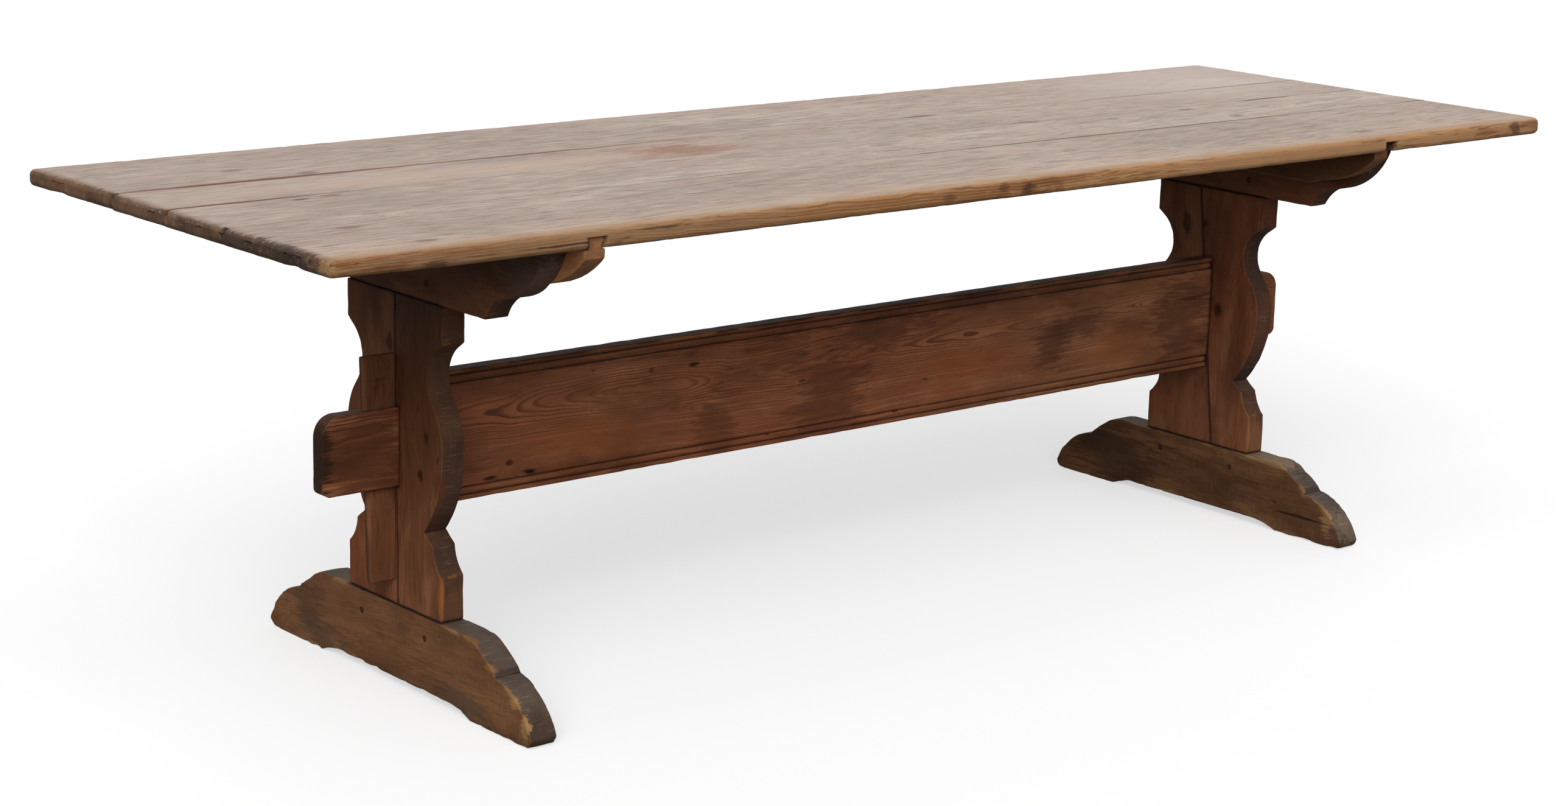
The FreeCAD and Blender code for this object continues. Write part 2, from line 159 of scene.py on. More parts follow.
# Places where a corner is knocked off: centre, radius and depth in millimetres
CHIPS = [
    ((-TOP_END, MIDDLE_JOINT, TOP_LEVEL - 4), 16, 7),
    ((-TOP_END, BACK_JOINT, TOP_LEVEL - 6), 14, 5),
    ((-TOP_END, FRONT_JOINT - 20, TOP_LEVEL - 4), 22, 5),
    ((-TOP_END, -265, TOP_LEVEL), 45, 4),
    ((-TOP_END, -330, TOP_LEVEL - 22), 26, 5),
    ((-TOP_END, 330, TOP_LEVEL - 20), 30, 4),
    ((TOP_END, MIDDLE_JOINT, TOP_LEVEL - 4), 12, 4),
    ((-690, FRONT_EDGE, TOP_LEVEL), 14, 4),
    ((-810, FRONT_EDGE, TOP_LEVEL - 24), 9, 4),
    ((890, FRONT_EDGE, TOP_LEVEL - 24), 12, 5),
    ((LEFT_FOOT_FACE, -345, 12), 22, 5),
    ((RIGHT_FOOT_FACE, -340, 14), 20, 4),
]


def covered(node, point):
    """True where a point lies inside another piece's box, as the edges of a hidden tenon do."""
    for other in frame["nodes"]:
        if other == node:
            continue
        low, high = BOXES[other]
        if all(low[i] + COVERED_MARGIN < point[i] < high[i] - COVERED_MARGIN for i in range(3)):
            return True
    return False


def in_housing(point):
    """True in a batten's housing, whose mouth keeps its sharp edges so that the batten clears them."""
    for low, high in (BOXES["left_batten"], BOXES["right_batten"]):
        beside = low.x - HOUSING_MARGIN < point.x < high.x + HOUSING_MARGIN
        if beside and point.z < high.z + HOUSING_MARGIN:
            return True
    return False


def edge_samples(edges):
    """A search tree of points along the given edges."""
    points = []
    for edge in edges:
        a, b = (v.co.copy() for v in edge.verts)
        steps = max(1, int(edge.calc_length() / EDGE_SAMPLE))
        points += [a.lerp(b, i / steps) for i in range(steps + 1)]
    tree = kdtree.KDTree(len(points))
    for i, point in enumerate(points):
        tree.insert(point, i)
    tree.balance()
    return tree


def other_surfaces(node):
    """A search tree of the faces of the pieces that stay with this one, but for the pegs, which lie flush."""
    points, faces = [], []
    for other, solid in frame["nodes"].items():
        if other != node and "pegs" not in other and BODY_OF[other] == BODY_OF[node]:
            start = len(points)
            points += [v.co for v in solid.data.vertices]
            faces += [[start + i for i in face.vertices] for face in solid.data.polygons]
    return BVHTree.FromPolygons(points, faces)


def cut_in_cells(bm, cell):
    """Cuts the mesh into cells along each axis, so that its faces can be uneven."""
    for axis in range(3):
        if not cell[axis]:
            continue
        step = cell[axis] * MM
        low = min(v.co[axis] for v in bm.verts)
        high = max(v.co[axis] for v in bm.verts)
        normal = Vector((axis == 0, axis == 1, axis == 2))
        for i in range(1, math.ceil((high - low) / step)):
            geom = bm.verts[:] + bm.edges[:] + bm.faces[:]
            place = normal * (low + i * step)
            bmesh.ops.bisect_plane(bm, geom=geom, dist=MERGE, plane_co=place, plane_no=normal)


def soften_arrises(bm, node, board):
    """Rounds the sharp outer edges that show, and returns a search tree of where they were."""
    arrises = []
    for edge in bm.edges:
        middle = (edge.verts[0].co + edge.verts[1].co) / 2
        sharp = edge.calc_face_angle(0) > SHARP_ANGLE and edge.is_convex
        if board["finish"] == "top" and in_housing(middle):
            continue
        if sharp and edge.calc_length() > board["shortest"] * MM and not covered(node, middle):
            arrises.append(edge)
    near = edge_samples(arrises)
    bmesh.ops.bevel(bm, geom=arrises, offset=board["arris"] * MM, segments=ARRIS_SEGMENTS, profile=0.5,
                    affect="EDGES", material=-1, clamp_overlap=False)
    bmesh.ops.remove_doubles(bm, verts=bm.verts, dist=MERGE)
    return near


def tucked_share(point, others, hollows):
    """How far a point is tucked into a corner: near another piece, or in a hollow of its own."""
    gap = others.find_nearest(point, CORNER_GRIME_AND_SHADE_REACH)[3]
    share = 0.0 if gap is None else 1 - gap / CORNER_GRIME_AND_SHADE_REACH
    hollow = hollows.find(point)[2]
    return share if hollow is None else max(share, math.exp(-(hollow / HOLLOW_REACH) ** 2))


def rubbed_share(point, near, board):
    """How far hands and feet rub a point: most on an arris, or on the rim of the top."""
    if board["finish"] == "top":
        rim = min(TOP_END - abs(point.x) / MM, BACK_EDGE - abs(point.y) / MM)
        return math.exp(-(rim / RIM_REACH) ** 2)
    return math.exp(-(near.find(point)[2] / MM / board["rub"]) ** 2)


def wear_of(vertex, rubbed, board):
    """How far a vertex is worn away: swells of the face, nicks on its arrises, chips and a bruised end."""
    point = vertex.co
    seed = Vector([board["seed"] * step for step in SEED_STEPS])
    swell = 0.5 + 0.5 * noise.noise(point * SWELL_REPEATS + seed)
    nick = 0.0
    for repeats, start, share in NICKS:
        nick += share * max(0.0, noise.noise(point * repeats + seed) - start)
    depth = board["swell"] * swell + rubbed * board["nick"] * nick
    for centre, radius, chip in CHIPS:
        gap = (point - Vector(centre) * MM).length / MM
        if gap < radius:
            depth += chip * (1 - gap / radius) ** 2
    move = vertex.normal * -depth
    if board["finish"] == "top":
        from_end = TOP_END + point.x / MM
        worn = max(0.0, 1 - from_end / END_WEAR_RUN)
        across, up = BRUISE_REPEATS
        bruise = noise.noise(Vector((0, point.y * across, point.z * up)) + seed)
        bruise = BRUISE_DEPTH * max(0.0, bruise)
        low, high = board["sides"]
        front, back = board["short"]
        move.x += worn * (front + (back - front) * (point.y / MM - low) / (high - low) + bruise)
        if point.z / MM < TOP_LEVEL - END_THIN_BELOW:
            move.z += END_THIN * max(0.0, 1 - from_end / END_THIN_RUN)
    return move * MM


def worn_copy(node, board):
    """The node's solid with its arrises rounded, nicked and rubbed."""
    bm = bmesh.new()
    bm.from_mesh(frame["nodes"][node].data)
    bmesh.ops.remove_doubles(bm, verts=bm.verts, dist=MERGE)
    bmesh.ops.dissolve_limit(bm, angle_limit=FLAT_ANGLE, verts=bm.verts, edges=bm.edges)
    concave = [e for e in bm.edges if not e.is_convex and e.calc_face_angle(0) > HOLLOW_ANGLE]
    hollows = edge_samples(concave)
    near = soften_arrises(bm, node, board)
    cut_in_cells(bm, board["cell"])
    bm.normal_update()

    foot, head = BOXES[node][0][2], BOXES[node][1][2]
    foot_shade, head_shade = board["painted_shade"]
    through = "XYZ".index(board["axes"][2])
    others = other_surfaces(node)
    values = {"rubbed": [], "corner_grime_and_shade": [], "edge": [], "painted_shade": [], "lines": []}
    # Painted shade runs from the board's foot to its head
    for v in bm.verts:
        values["rubbed"].append(rubbed_share(v.co, near, board))
        values["corner_grime_and_shade"].append(tucked_share(v.co, others, hollows))
        values["edge"].append(1 - abs(v.normal[through]))
        values["painted_shade"].append(foot_shade + (head_shade - foot_shade) * (v.co.z - foot) / (head - foot))
        values["lines"].append(board["lines"])
    moves = [wear_of(v, rub, board) for v, rub in zip(bm.verts, values["rubbed"])]
    for v, move in zip(bm.verts, moves):
        v.co += move
    for face in bm.faces:
        face.smooth = True
    mesh = bpy.data.meshes.new(node + "_worn")
    bm.to_mesh(mesh)
    bm.free()
    for name, column in values.items():
        mesh.attributes.new(name, "FLOAT", "POINT").data.foreach_set("value", column)
    write_places(mesh, board)
    piece = bpy.data.objects.new(node + "_worn", mesh)
    bpy.context.scene.collection.objects.link(piece)
    piece.modifiers.new("face_normals", "WEIGHTED_NORMAL").keep_sharp = True
    return piece


def write_places(mesh, board):
    """Writes each point's place along, across and through its board, and its place about the tree's
    heart, from which the board leans a little."""
    order = ["XYZ".index(axis) for axis in board["axes"]]
    heart_across, heart_through = (h * MM for h in board["heart"])
    places, from_heart = [], []
    for v in mesh.vertices:
        along, across, through = (v.co[i] for i in order)
        places += [along + board["seed"] * BOARD_SPACING, across, through]
        from_heart += [0, across - heart_across, through - heart_through + along * board["lean"]]
    for name, values in (("board", places), ("tree", from_heart)):
        mesh.attributes.new(name, "FLOAT_VECTOR", "POINT").data.foreach_set("vector", values)


# Pine figure: cells and sizes in millimetres, the knots' rim and spread in knot sizes, and the latewood's
# start, darkest line and end as shares of a year

SMOOTH = {"interpolation_type": "SMOOTHSTEP"}
WANDER_CELL = (700, 500, 500)
WANDER_REACH = 40 * MM
RIPPLE_CELL = (140, 160, 160)
RIPPLE_REACH = 12 * MM
KNOT_CELL = (300, 150)
KNOT_SLENDERNESS = 1.5
KNOT_SIZES = (4, 10)
KNOT_RIM = (1.4, 0.6)
KNOT_SPREAD = 4.5
KNOT_BULGE = 20 * MM
YEAR_DRIFT = 3.0
YEAR_SCALE = 0.3
LATEWOOD = (0.35, 0.9, 1.0)
DENT_CELL = (70, 26, 26)
DENT_FROM = 0.6
DENT_SIZE = 0.11
FIGURE_SIZES = {
    "cloud": (420, 130, 130),
    "blotch": (110, 38, 38),
    "streak": (300, 14, 14),
    "dash": (60, 7, 7),
    "fibre": (70, 2.4, 2.4),
    "scuff": (2.6, 30, 30),
}


def pine_figure(tree, ring_mm, knots_from):
    """Growth rings, fibres, clouds, knots and dents of a pine board, in the board's own frame."""
    board = add(tree, "Attribute", {}, out="Vector", attribute_name="board")
    from_heart = add(tree, "Attribute", {}, out="Vector", attribute_name="tree")

    # The heart wanders by a centimetre or two along the tree, and the grain ripples by a few millimetres
    slow = add(tree, "VectorMath", {0: board, 1: pitch(*WANDER_CELL)}, operation="MULTIPLY")
    wander = add(tree, "TexNoise", {"Vector": slow, "Scale": 1.0, "Detail": 1.0}, out="Color")
    hue = add(tree, "SeparateColor", {0: wander}, out="Red")
    wander = add(tree, "VectorMath", {0: wander, 1: (0.5, 0.5, 0.5)}, operation="SUBTRACT")
    wander = add(tree, "VectorMath", {0: wander, 1: (0.0, WANDER_REACH, WANDER_REACH)}, operation="MULTIPLY")
    quick = add(tree, "VectorMath", {0: board, 1: pitch(*RIPPLE_CELL)}, operation="MULTIPLY")
    ripple = add(tree, "TexNoise", {"Vector": quick, "Scale": 1.0, "Detail": 2.0}, out="Color")
    ripple = add(tree, "VectorMath", {0: ripple, 1: (0.5, 0.5, 0.5)}, operation="SUBTRACT")
    ripple = add(tree, "VectorMath", {0: ripple, 1: (0.0, RIPPLE_REACH, RIPPLE_REACH)}, operation="MULTIPLY")
    drift = add(tree, "VectorMath", {0: wander, 1: ripple}, operation="ADD")
    bent = add(tree, "VectorMath", {0: board, 1: drift}, operation="ADD")
    from_heart = add(tree, "VectorMath", {0: from_heart, 1: drift}, operation="ADD")
    radius = add(tree, "VectorMath", {0: from_heart}, out="Value", operation="LENGTH")

    # Knots: at most one to a cell, in a share of the cells
    cell = tuple(size * MM for size in KNOT_CELL)
    grid = add(tree, "VectorMath", {0: board, 1: cell + (1.0,)}, operation="DIVIDE")
    cells = add(tree, "TexVoronoi", {"Vector": grid, "Scale": 1.0}, voronoi_dimensions="2D").node
    away = add(tree, "VectorMath", {0: grid, 1: cells.outputs["Position"]}, operation="SUBTRACT")
    spread = (cell[0] / KNOT_SLENDERNESS, cell[1], 0.0)
    away = add(tree, "VectorMath", {0: away, 1: spread}, operation="MULTIPLY")
    gap = add(tree, "VectorMath", {0: away}, out="Value", operation="LENGTH")
    chance = add(tree, "SeparateColor", {0: cells.outputs["Color"]}, out="Red")
    size = add(tree, "SeparateColor", {0: cells.outputs["Color"]}, out="Green")
    present = add(tree, "Math", {0: chance, 1: knots_from}, operation="GREATER_THAN")
    size = add(tree, "MapRange", {0: size, 3: KNOT_SIZES[0] * MM, 4: KNOT_SIZES[1] * MM})
    reach = add(tree, "Math", {0: gap, 1: size}, operation="DIVIDE")
    around = add(tree, "MapRange", {0: reach, 1: KNOT_SPREAD, 2: 0.0}, interpolation_type="SMOOTHERSTEP")
    around = add(tree, "Math", {0: around, 1: present}, operation="MULTIPLY")
    knot = add(tree, "MapRange", {0: reach, 1: KNOT_RIM[0], 2: KNOT_RIM[1]}, **SMOOTH)
    knot = add(tree, "Math", {0: knot, 1: present}, operation="MULTIPLY")

    # Rings part around the knots; the dark latewood is a narrow line at the end of each year
    bulge = add(tree, "Math", {0: around, 1: KNOT_BULGE}, operation="MULTIPLY")
    radius = add(tree, "Math", {0: radius, 1: bulge}, operation="ADD")
    phase = add(tree, "Math", {0: radius, 1: ring_mm * MM}, operation="DIVIDE")
    years = add(tree, "TexNoise", {"W": phase, "Scale": YEAR_SCALE, "Detail": 1.0}, noise_dimensions="1D")
    phase = add(tree, "Math", {0: years, 1: YEAR_DRIFT, 2: phase}, operation="MULTIPLY_ADD")
    year = add(tree, "Math", {0: phase}, operation="FRACT")
    start, darkest, end = LATEWOOD
    rise = add(tree, "MapRange", {0: year, 1: start, 2: darkest}, **SMOOTH)
    fall = add(tree, "MapRange", {0: year, 1: end, 2: darkest}, **SMOOTH)
    figure = {"hue": hue, "knot": knot}
    figure["ring"] = add(tree, "Math", {0: rise, 1: fall}, operation="MULTIPLY")

    # Dents: short dark bruises along the grain
    grid = add(tree, "VectorMath", {0: board, 1: pitch(*DENT_CELL)}, operation="MULTIPLY")
    cells = add(tree, "TexVoronoi", {"Vector": grid, "Scale": 1.0}).node
    chance = add(tree, "SeparateColor", {0: cells.outputs["Color"]}, out="Red")
    size = add(tree, "MapRange", {0: chance, 1: DENT_FROM, 2: 1.0, 3: 0.0, 4: DENT_SIZE})
    figure["dent"] = add(tree, "Math", {0: cells.outputs["Distance"], 1: size}, operation="LESS_THAN")

    # Colour that changes over the board, from wide clouds to single fibres
    for name, size_mm in FIGURE_SIZES.items():
        place = add(tree, "VectorMath", {0: bent, 1: pitch(*size_mm)}, operation="MULTIPLY")
        inputs = {"Vector": place, "Scale": 1.0, "Detail": 3.0, "Roughness": 0.6}
        figure[name] = add(tree, "TexNoise", inputs)
    return figure


def new_material(name):
    """An empty node material, its tree and its shader."""
    material = bpy.data.materials.new(name)
    material.use_nodes = True
    tree = material.node_tree
    return material, tree, tree.nodes["Principled BSDF"]


def paint(tree, ground, layers):
    """Lays colours over a ground, each by its own amount."""
    for amount, code in layers:
        ground = add(tree, "Mix", {0: amount, 6: ground, 7: linear(code)}, out=2, data_type="RGBA")
    return ground


# Marks: how much the dashes add to their ragged outlines, the range of that raggedness, and the shares of a
# mark's reach at which it ends and at which it is full
RAGGED_DASHES = 1.5
RAGGED_RANGE = (1.25, 2.25)
MARK_RIM = (1.2, 0.5)


def mark_layers(tree, figure, marks, raggedness):
    """Local stains, knots, cracks and scuffs: ellipsoids about places on the table, with ragged outlines."""
    place = add(tree, "TexCoord", {}, out="Object")
    ragged = {0: figure["dash"], 1: RAGGED_DASHES, 2: figure["blotch"]}
    ragged = add(tree, "Math", ragged, operation="MULTIPLY_ADD")
    ragged = add(tree, "Math", {0: ragged, 1: figure["fibre"]}, operation="ADD")
    ragged = add(tree, "MapRange", {0: ragged, 1: RAGGED_RANGE[0], 2: RAGGED_RANGE[1], 3: -1.0, 4: 1.0})
    layers = []
    for centre, reach, strength, code in marks:
        away = add(tree, "VectorMath", {0: place, 1: tuple(c * MM for c in centre)}, operation="SUBTRACT")
        away = add(tree, "VectorMath", {0: away, 1: tuple(r * MM for r in reach)}, operation="DIVIDE")
        gap = add(tree, "VectorMath", {0: away}, out="Value", operation="LENGTH")
        gap = add(tree, "Math", {0: ragged, 1: raggedness, 2: gap}, operation="MULTIPLY_ADD")
        amount = add(tree, "MapRange", {0: gap, 1: MARK_RIM[0], 2: MARK_RIM[1], 4: strength}, **SMOOTH)
        layers.append((amount, code))
    return layers


def finish_surface(tree, shader, figure, colour, roughness, sheen, relief_mm):
    """Joins the colour, and a roughness and relief that follow the fibres and rings."""
    tree.links.new(colour, shader.inputs["Base Color"])
    rough = add(tree, "MapRange", {0: figure["fibre"], 1: 0.3, 2: 0.7, 3: roughness[0], 4: roughness[1]})
    tree.links.new(rough, shader.inputs["Roughness"])
    height = add(tree, "Math", {0: figure["fibre"], 1: figure["ring"]}, operation="ADD")
    height = add(tree, "Math", {0: height, 1: figure["dent"]}, operation="SUBTRACT")
    bump = add(tree, "Bump", {"Strength": 0.5, "Distance": relief_mm * MM, "Height": height})
    tree.links.new(bump, shader.inputs["Normal"])
    shader.inputs["Specular IOR Level"].default_value = sheen


# Bands along the top's front edge and left end: where each begins and where it is full, in millimetres
WARMED_BAND = (170, 20)
HANDLED_BAND = (50, 4)
SOILED_BAND = (26, 4)

# Share of the top's half width past which a side is an outer one
OUTER_SIDE = 0.9

# Step over which stain fades to bare wood, and how much more the sawn edges are scuffed than the faces
BARE_FADE = 0.12
EDGE_SCUFF = 0.25

# Depth of the marks on the top's upper face and on its joints, in millimetres
MARK_DEPTH = 16
JOINT_DEPTH = 14

# Marks on the top: centre and reach in millimetres, strength and colour
TOP_MARKS = [
    # Red-brown spill and the pinkish band that it sits in
    ((-680, 68, TOP_LEVEL), (480, 40, MARK_DEPTH), 0.4, "#d2b49e"),
    ((-328, 66, TOP_LEVEL), (105, 68, MARK_DEPTH), 0.65, "#996e57"),
    ((-312, 68, TOP_LEVEL), (70, 46, MARK_DEPTH), 0.5, "#8e6046"),
    # Grey worn zones
    ((-145, 242, TOP_LEVEL), (170, 60, MARK_DEPTH), 0.55, "#8f8077"),
    ((-168, -9, TOP_LEVEL), (230, 50, MARK_DEPTH), 0.4, "#9a8b82"),
    ((-574, -79, TOP_LEVEL), (260, 60, MARK_DEPTH), 0.45, "#9a897e"),
    ((-980, -60, TOP_LEVEL), (250, 80, MARK_DEPTH), 0.4, "#9b897d"),
    # Painted sheen: a pale patch at the right back, where the top catches the light
    ((1060, 270, TOP_LEVEL), (260, 170, MARK_DEPTH), 0.45, "#d3c5bd"),
    # Front edge: paler at its ends, knots, and splits beside the left notch
    ((-840, FRONT_EDGE, 745), (420, 14, 26), 0.5, "#99795a"),
    ((700, FRONT_EDGE, 745), (620, 12, 24), 0.5, "#c0956a"),
    ((-78, FRONT_EDGE, 750), (12, 10, 7), 0.8, "#563622"),
    ((-26, FRONT_EDGE, 747), (13, 10, 9), 0.85, "#45291a"),
    ((-192, FRONT_EDGE, 745), (14, 8, 6), 0.6, "#5a3a26"),
    ((1190, FRONT_EDGE, 748), (12, 10, 10), 0.85, "#4b3425"),
    ((-1110, FRONT_EDGE, 736), (24, 9, 7), 0.85, "#4a301f"),
    ((-880, FRONT_EDGE, 743), (70, 9, 1.8), 0.9, "#3d2617"),
    ((-730, FRONT_EDGE, 752), (50, 9, 1.8), 0.85, "#4a2f1b"),
    # Left end: a pale arris, dark grime, and a rubbed front corner
    ((-TOP_END, -270, TOP_LEVEL), (14, 60, 6), 0.6, "#a98c6f"),
    ((-TOP_END, -300, TOP_LEVEL - 5), (14, 120, 14), 0.9, "#38261b"),
    ((-TOP_END, -290, TOP_LEVEL - 20), (10, 130, 18), 0.85, "#2c1d14"),
    ((-TOP_END, -200, TOP_LEVEL - 18), (8, 80, 14), 0.7, "#35261c"),
    ((-TOP_END, FRONT_EDGE + 4, TOP_LEVEL - 14), (20, 24, 20), 0.8, "#9c7850"),
]

# Knots and bruises of the top, in the same form
KNOT_MARKS = [
    ((-1024, 251, TOP_LEVEL), (26, 12, MARK_DEPTH), 0.8, "#75645a"),
    ((-940, 182, TOP_LEVEL), (20, 11, MARK_DEPTH), 0.8, "#776760"),
    ((-1125, -235, TOP_LEVEL), (24, 10, MARK_DEPTH), 0.7, "#6e5848"),
    ((-1092, -371, TOP_LEVEL), (22, 9, MARK_DEPTH), 0.7, "#675243"),
    ((-1067, -13, TOP_LEVEL), (15, 6, MARK_DEPTH), 0.9, "#4a382d"),
    ((-1012, -5, TOP_LEVEL), (18, 8, MARK_DEPTH), 0.8, "#8a5f46"),
    ((276, 160, TOP_LEVEL), (44, 7, MARK_DEPTH), 0.9, "#4f4038"),
    ((400, 14, TOP_LEVEL), (22, 10, MARK_DEPTH), 0.7, "#716055"),
    ((764, -21, TOP_LEVEL), (20, 10, MARK_DEPTH), 0.7, "#6d5a49"),
    ((845, -360, TOP_LEVEL), (26, 11, MARK_DEPTH), 0.7, "#735d4d"),
    ((785, -119, TOP_LEVEL), (19, 10, MARK_DEPTH), 0.7, "#736156"),
    ((561, -35, TOP_LEVEL), (18, 9, MARK_DEPTH), 0.7, "#736156"),
]

# Joints between the planks, in the same form: rust-brown and open at the left, closing to fine lines
JOINT_MARKS = [
    ((-1010, BACK_JOINT, TOP_LEVEL), (330, 9, JOINT_DEPTH), 0.95, "#6b3f25"),
    ((-560, BACK_JOINT, TOP_LEVEL), (430, 5.5, JOINT_DEPTH), 0.85, "#774a30"),
    ((480, BACK_JOINT, TOP_LEVEL), (640, 3, JOINT_DEPTH), 0.5, "#8a6f5f"),
    ((1130, BACK_JOINT, TOP_LEVEL), (210, 5, JOINT_DEPTH), 0.7, "#7a5c49"),
    ((-1170, MIDDLE_JOINT, TOP_LEVEL), (190, 6, JOINT_DEPTH), 0.95, "#6a4029"),
    ((-760, MIDDLE_JOINT, TOP_LEVEL), (330, 3, JOINT_DEPTH), 0.55, "#8d6a55"),
    ((-300, MIDDLE_JOINT, TOP_LEVEL), (540, 3, JOINT_DEPTH), 0.5, "#d3c5b9"),
    ((1010, MIDDLE_JOINT, TOP_LEVEL), (75, 5, JOINT_DEPTH), 0.95, "#4c3629"),
    ((-640, FRONT_JOINT, TOP_LEVEL), (560, 3, JOINT_DEPTH), 0.45, "#957f71"),
    ((520, FRONT_JOINT, TOP_LEVEL), (520, 4.5, JOINT_DEPTH), 0.85, "#64503f"),
]

# Marks on the underframe, in the same form
FRAME_MARKS = [
    # Nail marks and pitch streaks on the stretcher
    ((-669, STRETCHER_FACE, 300), (17, 6, 5), 1.0, "#160d08"),
    ((-742, STRETCHER_FACE, 301), (14, 6, 3), 0.9, "#1d110b"),
    ((-436, STRETCHER_FACE, 431), (6, 6, 3), 0.6, "#2a170e"),
    ((-350, STRETCHER_FACE, 428), (12, 6, 4), 0.9, "#22130c"),
    # Soft grime on the stretcher, left by hands and knees
    ((-300, STRETCHER_FACE, 320), (50, 9, 80), 0.4, "#3a2517"),
    ((-60, STRETCHER_FACE, 330), (90, 9, 90), 0.45, "#38241a"),
    ((60, STRETCHER_FACE, 440), (130, 9, 34), 0.45, "#36221a"),
    ((455, STRETCHER_FACE, 372), (50, 9, 54), 0.5, "#33231c"),
    ((520, STRETCHER_FACE, 392), (70, 9, 30), 0.45, "#3b2a22"),
    ((790, STRETCHER_FACE, 378), (90, 9, 80), 0.5, "#38241c"),
    ((-160, STRETCHER_FACE, 424), (60, 9, 30), 0.4, "#3f281b"),
    # Warm rubbed patches on the stretcher
    ((-560, STRETCHER_FACE, 330), (110, 6, 44), 0.4, "#8a4e28"),
    ((250, STRETCHER_FACE, 345), (140, 6, 44), 0.4, "#8e4c27"),
    ((620, STRETCHER_FACE, 335), (80, 6, 40), 0.35, "#8e5229"),
    # Stain that lies thick in the stretcher's mouldings and on the left tenon's end, and painted shade on
    # the left tenon where it stands out under the top's overhang
    ((0, STRETCHER_FACE, 466), (1100, 9, 16), 0.4, "#3a2519"),
    ((-960, STRETCHER_FACE, 372), (90, 12, 100), 0.55, "#3a2115"),
    ((TENON_END, 0, 375), (16, 24, 95), 0.8, "#281c15"),
    # Redder stain on the left upright's outer face
    ((LEFT_UPRIGHT_FACE, -65, 400), (8, 66, 240), 0.35, "#60311a"),
    # Knots of the uprights
    ((LEFT_UPRIGHT_FACE, -71, 343), (9, 8, 11), 0.8, "#24140c"),
    ((LEFT_UPRIGHT_FACE, 10, 530), (9, 7, 13), 0.7, "#28170e"),
    ((LEFT_UPRIGHT_FACE, -87, 402), (7, 7, 10), 0.6, "#28170e"),
    ((RIGHT_UPRIGHT_FACE, 56, 533), (7, 16, 28), 0.7, "#2a1b12"),
    ((RIGHT_UPRIGHT_FACE, 8, 540), (7, 7, 9), 0.8, "#1f120b"),
    # Brown bases and necks, splinters knocked off the front arrises, and the right tenon's rubbed end
    ((LEFT_TRESTLE, -126, 150), (34, 8, 44), 0.65, "#6c4630"),
    ((LEFT_TRESTLE, -150, 400), (34, 24, 70), 0.3, "#2a1d16"),
    ((LEFT_TRESTLE, -128, 580), (34, 8, 34), 0.6, "#623c27"),
    ((RIGHT_TRESTLE, -126, 150), (34, 8, 50), 0.75, "#83583c"),
    ((RIGHT_TRESTLE, -128, 580), (34, 8, 34), 0.6, "#74422a"),
    ((-905, -126, 172), (5, 8, 36), 0.85, "#9c5f32"),
    ((-902, -118, 330), (12, 12, 30), 0.5, "#6f4126"),
    ((866, -126, 165), (8, 8, 36), 0.8, "#94603e"),
    ((1046, 0, 400), (14, 30, 50), 0.5, "#8f5a33"),
    # Painted light and a greyish painted sheen on the left bearer's front end, at the top's front edge
    ((LEFT_TRESTLE, -340, 665), (40, 70, 70), 0.65, "#6d564a"),
    # Painted shade on the stretcher's upper face, under the table top
    ((0, 0, 478), (850, 22, 4), 0.8, "#3d2010"),
]

# Lower arris of the right batten, pale where it is rubbed and with a painted highlight, in the same form
BATTEN_MARKS = [
    ((RIGHT_BATTEN_INNER, -140, BATTEN_BOTTOM), (8, 190, 5), 0.85, "#a9835f"),
    ((RIGHT_BATTEN_INNER, -320, BATTEN_BOTTOM + 14), (8, 60, 9), 0.7, "#a9835f"),
]

# Marks on the feet, in the same form
FOOT_MARKS = [
    # Splintered arrises of the front toes
    ((LEFT_FOOT_FACE, -318, 60), (9, 10, 14), 0.85, "#a27a4c"),
    ((LEFT_FOOT_FACE, -345, 30), (9, 9, 24), 0.85, "#a27d50"),
    ((LEFT_FOOT_FACE, -262, 96), (9, 14, 9), 0.7, "#98693e"),
    ((LEFT_FOOT_FACE, -215, 124), (10, 36, 6), 0.6, "#8d6038"),
    ((RIGHT_FOOT_FACE, -325, 58), (9, 14, 36), 0.85, "#a07a50"),
    ((RIGHT_FOOT_FACE, -190, 124), (12, 70, 7), 0.8, "#9c7b55"),
    ((RIGHT_FOOT_FACE, -270, 90), (9, 14, 12), 0.7, "#946c44"),
    # Damp and soot on the left foot's face; on the right foot's inner face a dark crack, and painted shade
    # under the table
    ((LEFT_FOOT_FACE, 250, 70), (9, 60, 40), 0.5, "#3d3429"),
    ((LEFT_FOOT_FACE, 200, 20), (9, 80, 30), 0.5, "#4a4138"),
    ((LEFT_FOOT_FACE, -190, 24), (9, 60, 28), 0.5, "#4d453b"),
    ((LEFT_FOOT_FACE, 0, 40), (9, 140, 36), 0.35, "#4b3322"),
    ((RIGHT_FOOT_FACE, -252, 40), (9, 80, 3), 0.85, "#241913"),
    ((RIGHT_FOOT_FACE, 200, 60), (9, 120, 60), 0.6, "#33271d"),
    ((RIGHT_FOOT_FACE, 0, 60), (9, 160, 50), 0.3, "#3f2717"),
    # Paler wear on the right foot's front top and toe
    ((RIGHT_TRESTLE, -190, 128), (30, 90, 10), 0.5, "#a5886b"),
    ((RIGHT_TRESTLE, -350, 50), (30, 30, 60), 0.4, "#93806b"),
]


